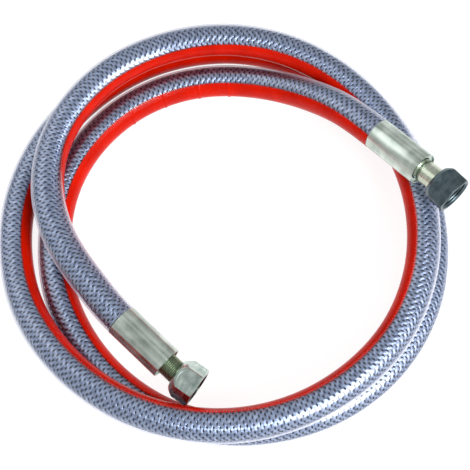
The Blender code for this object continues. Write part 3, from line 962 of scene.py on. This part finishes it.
def nut_loops(turn):
    """Closed loop of (distance, radius) for each turn: back hole, back dome, flat, rim, mouth and thread.
    The dome's depth is its crown times a power of its share of the way out to the corners."""
    side = hexagon_radius(turn)
    corner = NUT_ACROSS_FLATS / math.sqrt(3.0) + FIT_GAP
    land = 0.5 * NUT_BACK_LAND
    meets = (side - land) / (corner - land)
    dome_end = NUT_CROWN * meets**NUT_BULGE
    rim_share = np.clip((side - 0.5 * NUT_RIM_FLAT) / (corner - 0.5 * NUT_RIM_FLAT), 0.0, 1.0)
    rim_start = NUT_LENGTH - NUT_RIM_CROWN * rim_share
    loops = []

    def add(distance, radius):
        """One more corner of the loop, for every turn."""
        loops.append(np.stack(np.broadcast_arrays(distance, radius, turn)[:2], axis=-1))

    hole = 0.5 * NUT_BACK_HOLE
    core = 0.5 * THREAD_CORE
    add(NUT_BACK_WALL, hole)
    add(EDGE_SOFT, hole)
    add(0.0, hole + EDGE_SOFT)
    for part in np.linspace(0.0, 0.97, DOME_ROWS):
        share = meets * part
        add(NUT_CROWN * share**NUT_BULGE, land + (corner - land) * share)
    add(dome_end + EDGE_SOFT, side)
    for part in (0.03, 0.5, 0.97):
        add(dome_end + EDGE_SOFT + part * (rim_start - dome_end - 2.0 * EDGE_SOFT), side)
    add(rim_start + 0.35 * EDGE_SOFT, side - 0.35 * EDGE_SOFT)
    add(NUT_LENGTH, np.minimum(0.5 * NUT_RIM_FLAT, side - EDGE_SOFT))
    add(NUT_LENGTH, core + NUT_MOUTH_CHAMFER)
    for distance in np.linspace(NUT_LENGTH - NUT_MOUTH_CHAMFER, NUT_BACK_WALL + THREAD_END, THREAD_ROWS):
        phase = (distance / THREAD_PITCH - turn / (2.0 * np.pi)) % 1.0
        saw = 1.0 - np.abs(2.0 * phase - 1.0)
        add(distance, core + 0.5 * THREAD_DEPTH * (1.0 - np.clip(1.5 * saw - 0.25, 0.0, 1.0)))
    add(NUT_BACK_WALL + THREAD_RELIEF, core + 0.5 * THREAD_DEPTH)
    add(NUT_BACK_WALL, core + 0.5 * THREAD_DEPTH)
    return np.stack(loops, axis=1)


def add_nut(key, material):
    """The loops swept round the nut's own axis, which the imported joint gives."""
    joint = next(j for j in frame["joints"] if j["name"] == "nut_" + key + "_spin")
    turn = np.linspace(0.0, 2.0 * np.pi, NUT_SIDES, endpoint=False)
    loops = nut_loops(turn)
    place = axis_frame(Vector(joint["pos_m"]), Vector(joint["axis"]).normalized(), NUT_ROLL[key])
    piece = swept("swivel_nut_" + key, turn[:, None], loops[..., 0], loops[..., 1], place, material, NUT_SHARP)
    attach(piece, "nut_" + key + "_body")
    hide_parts("nut_" + key)
    return piece


nuts = [add_nut("a", BRIGHT_NUT_STEEL), add_nut("b", DARK_NUT_STEEL)]

# %% [markdown]
# The hose is a free cord. Its drawn length between the ferrules is printed.

print("declared the hose, drawn", round(LINE_LENGTH, 3), "m long between its ferrules")

# %% [markdown]
# The stage is a pale floor that runs out of the picture, lit by a soft lamp high on the near right
# with a wide pale screen round it, a weaker lamp on the left, and a bright even room.

# %% Floor and light
FLOOR_HALF_WIDTH = 3.0
FLOOR_DROP = 0.2 * MM
FLOOR_GLOW = 0.86
FLOOR_SHARP = 40.0


def add_floor():
    """A pale square floor, far wider than the picture, lit a little from below like a light table."""
    corners = np.array([(-1, -1, 0), (1, -1, 0), (1, 1, 0), (-1, 1, 0)], dtype=float) * FLOOR_HALF_WIDTH
    corners[:, 2] = -FLOOR_DROP
    material, tree, shader, coordinates = new_material("pale_floor")
    clouds = place_group(tree, CLOUDS, Position=coordinates.outputs["Object"], Size=0.5)
    grey = tinted(tree, clouds.outputs["Clouds"], (0.27, 0.27, 0.27), (0.29, 0.29, 0.29))
    tree.links.new(grey, shader.inputs["Base Color"])
    shader.inputs["Roughness"].default_value = 0.9
    shader.inputs["Specular IOR Level"].default_value = 0.1
    shader.inputs["Emission Color"].default_value = (1.0, 1.0, 1.0, 1.0)
    shader.inputs["Emission Strength"].default_value = FLOOR_GLOW
    uv = np.array([(0, 0), (1, 0), (1, 1), (0, 1)])
    floor = piece_from_arrays("floor", corners, np.array([[0, 1, 2, 3]]), uv, material, FLOOR_SHARP)


def add_lamp(name, place, aim, size, watts):
    """A square area lamp that looks at a point."""
    data = bpy.data.lights.new(name, "AREA")
    data.size = size
    data.energy = watts
    lamp = bpy.data.objects.new(name, data)
    bpy.context.scene.collection.objects.link(lamp)
    lamp.location = place
    lamp.rotation_euler = (Vector(aim) - Vector(place)).to_track_quat("-Z", "Y").to_euler()


def add_room(strength):
    """An even pale surround."""
    world = bpy.data.worlds.new("room")
    world.use_nodes = True
    world.node_tree.nodes["Background"].inputs["Color"].default_value = (1.0, 1.0, 1.0, 1.0)
    world.node_tree.nodes["Background"].inputs["Strength"].default_value = strength
    bpy.context.scene.world = world


add_floor()
add_lamp("key_lamp", (0.75, -0.75, 0.95), (0.0, 0.0, 0.0), 0.60, 14.0)
add_lamp("wide_lamp", (1.05, -0.85, 0.85), (0.0, 0.0, 0.0), 1.3, 7.0)
add_lamp("fill_lamp", (-0.9, 0.5, 1.0), (0.0, 0.0, 0.0), 0.9, 3.0)
add_room(0.58)
bpy.context.scene.view_settings.view_transform = "Standard"
print("stage ready")
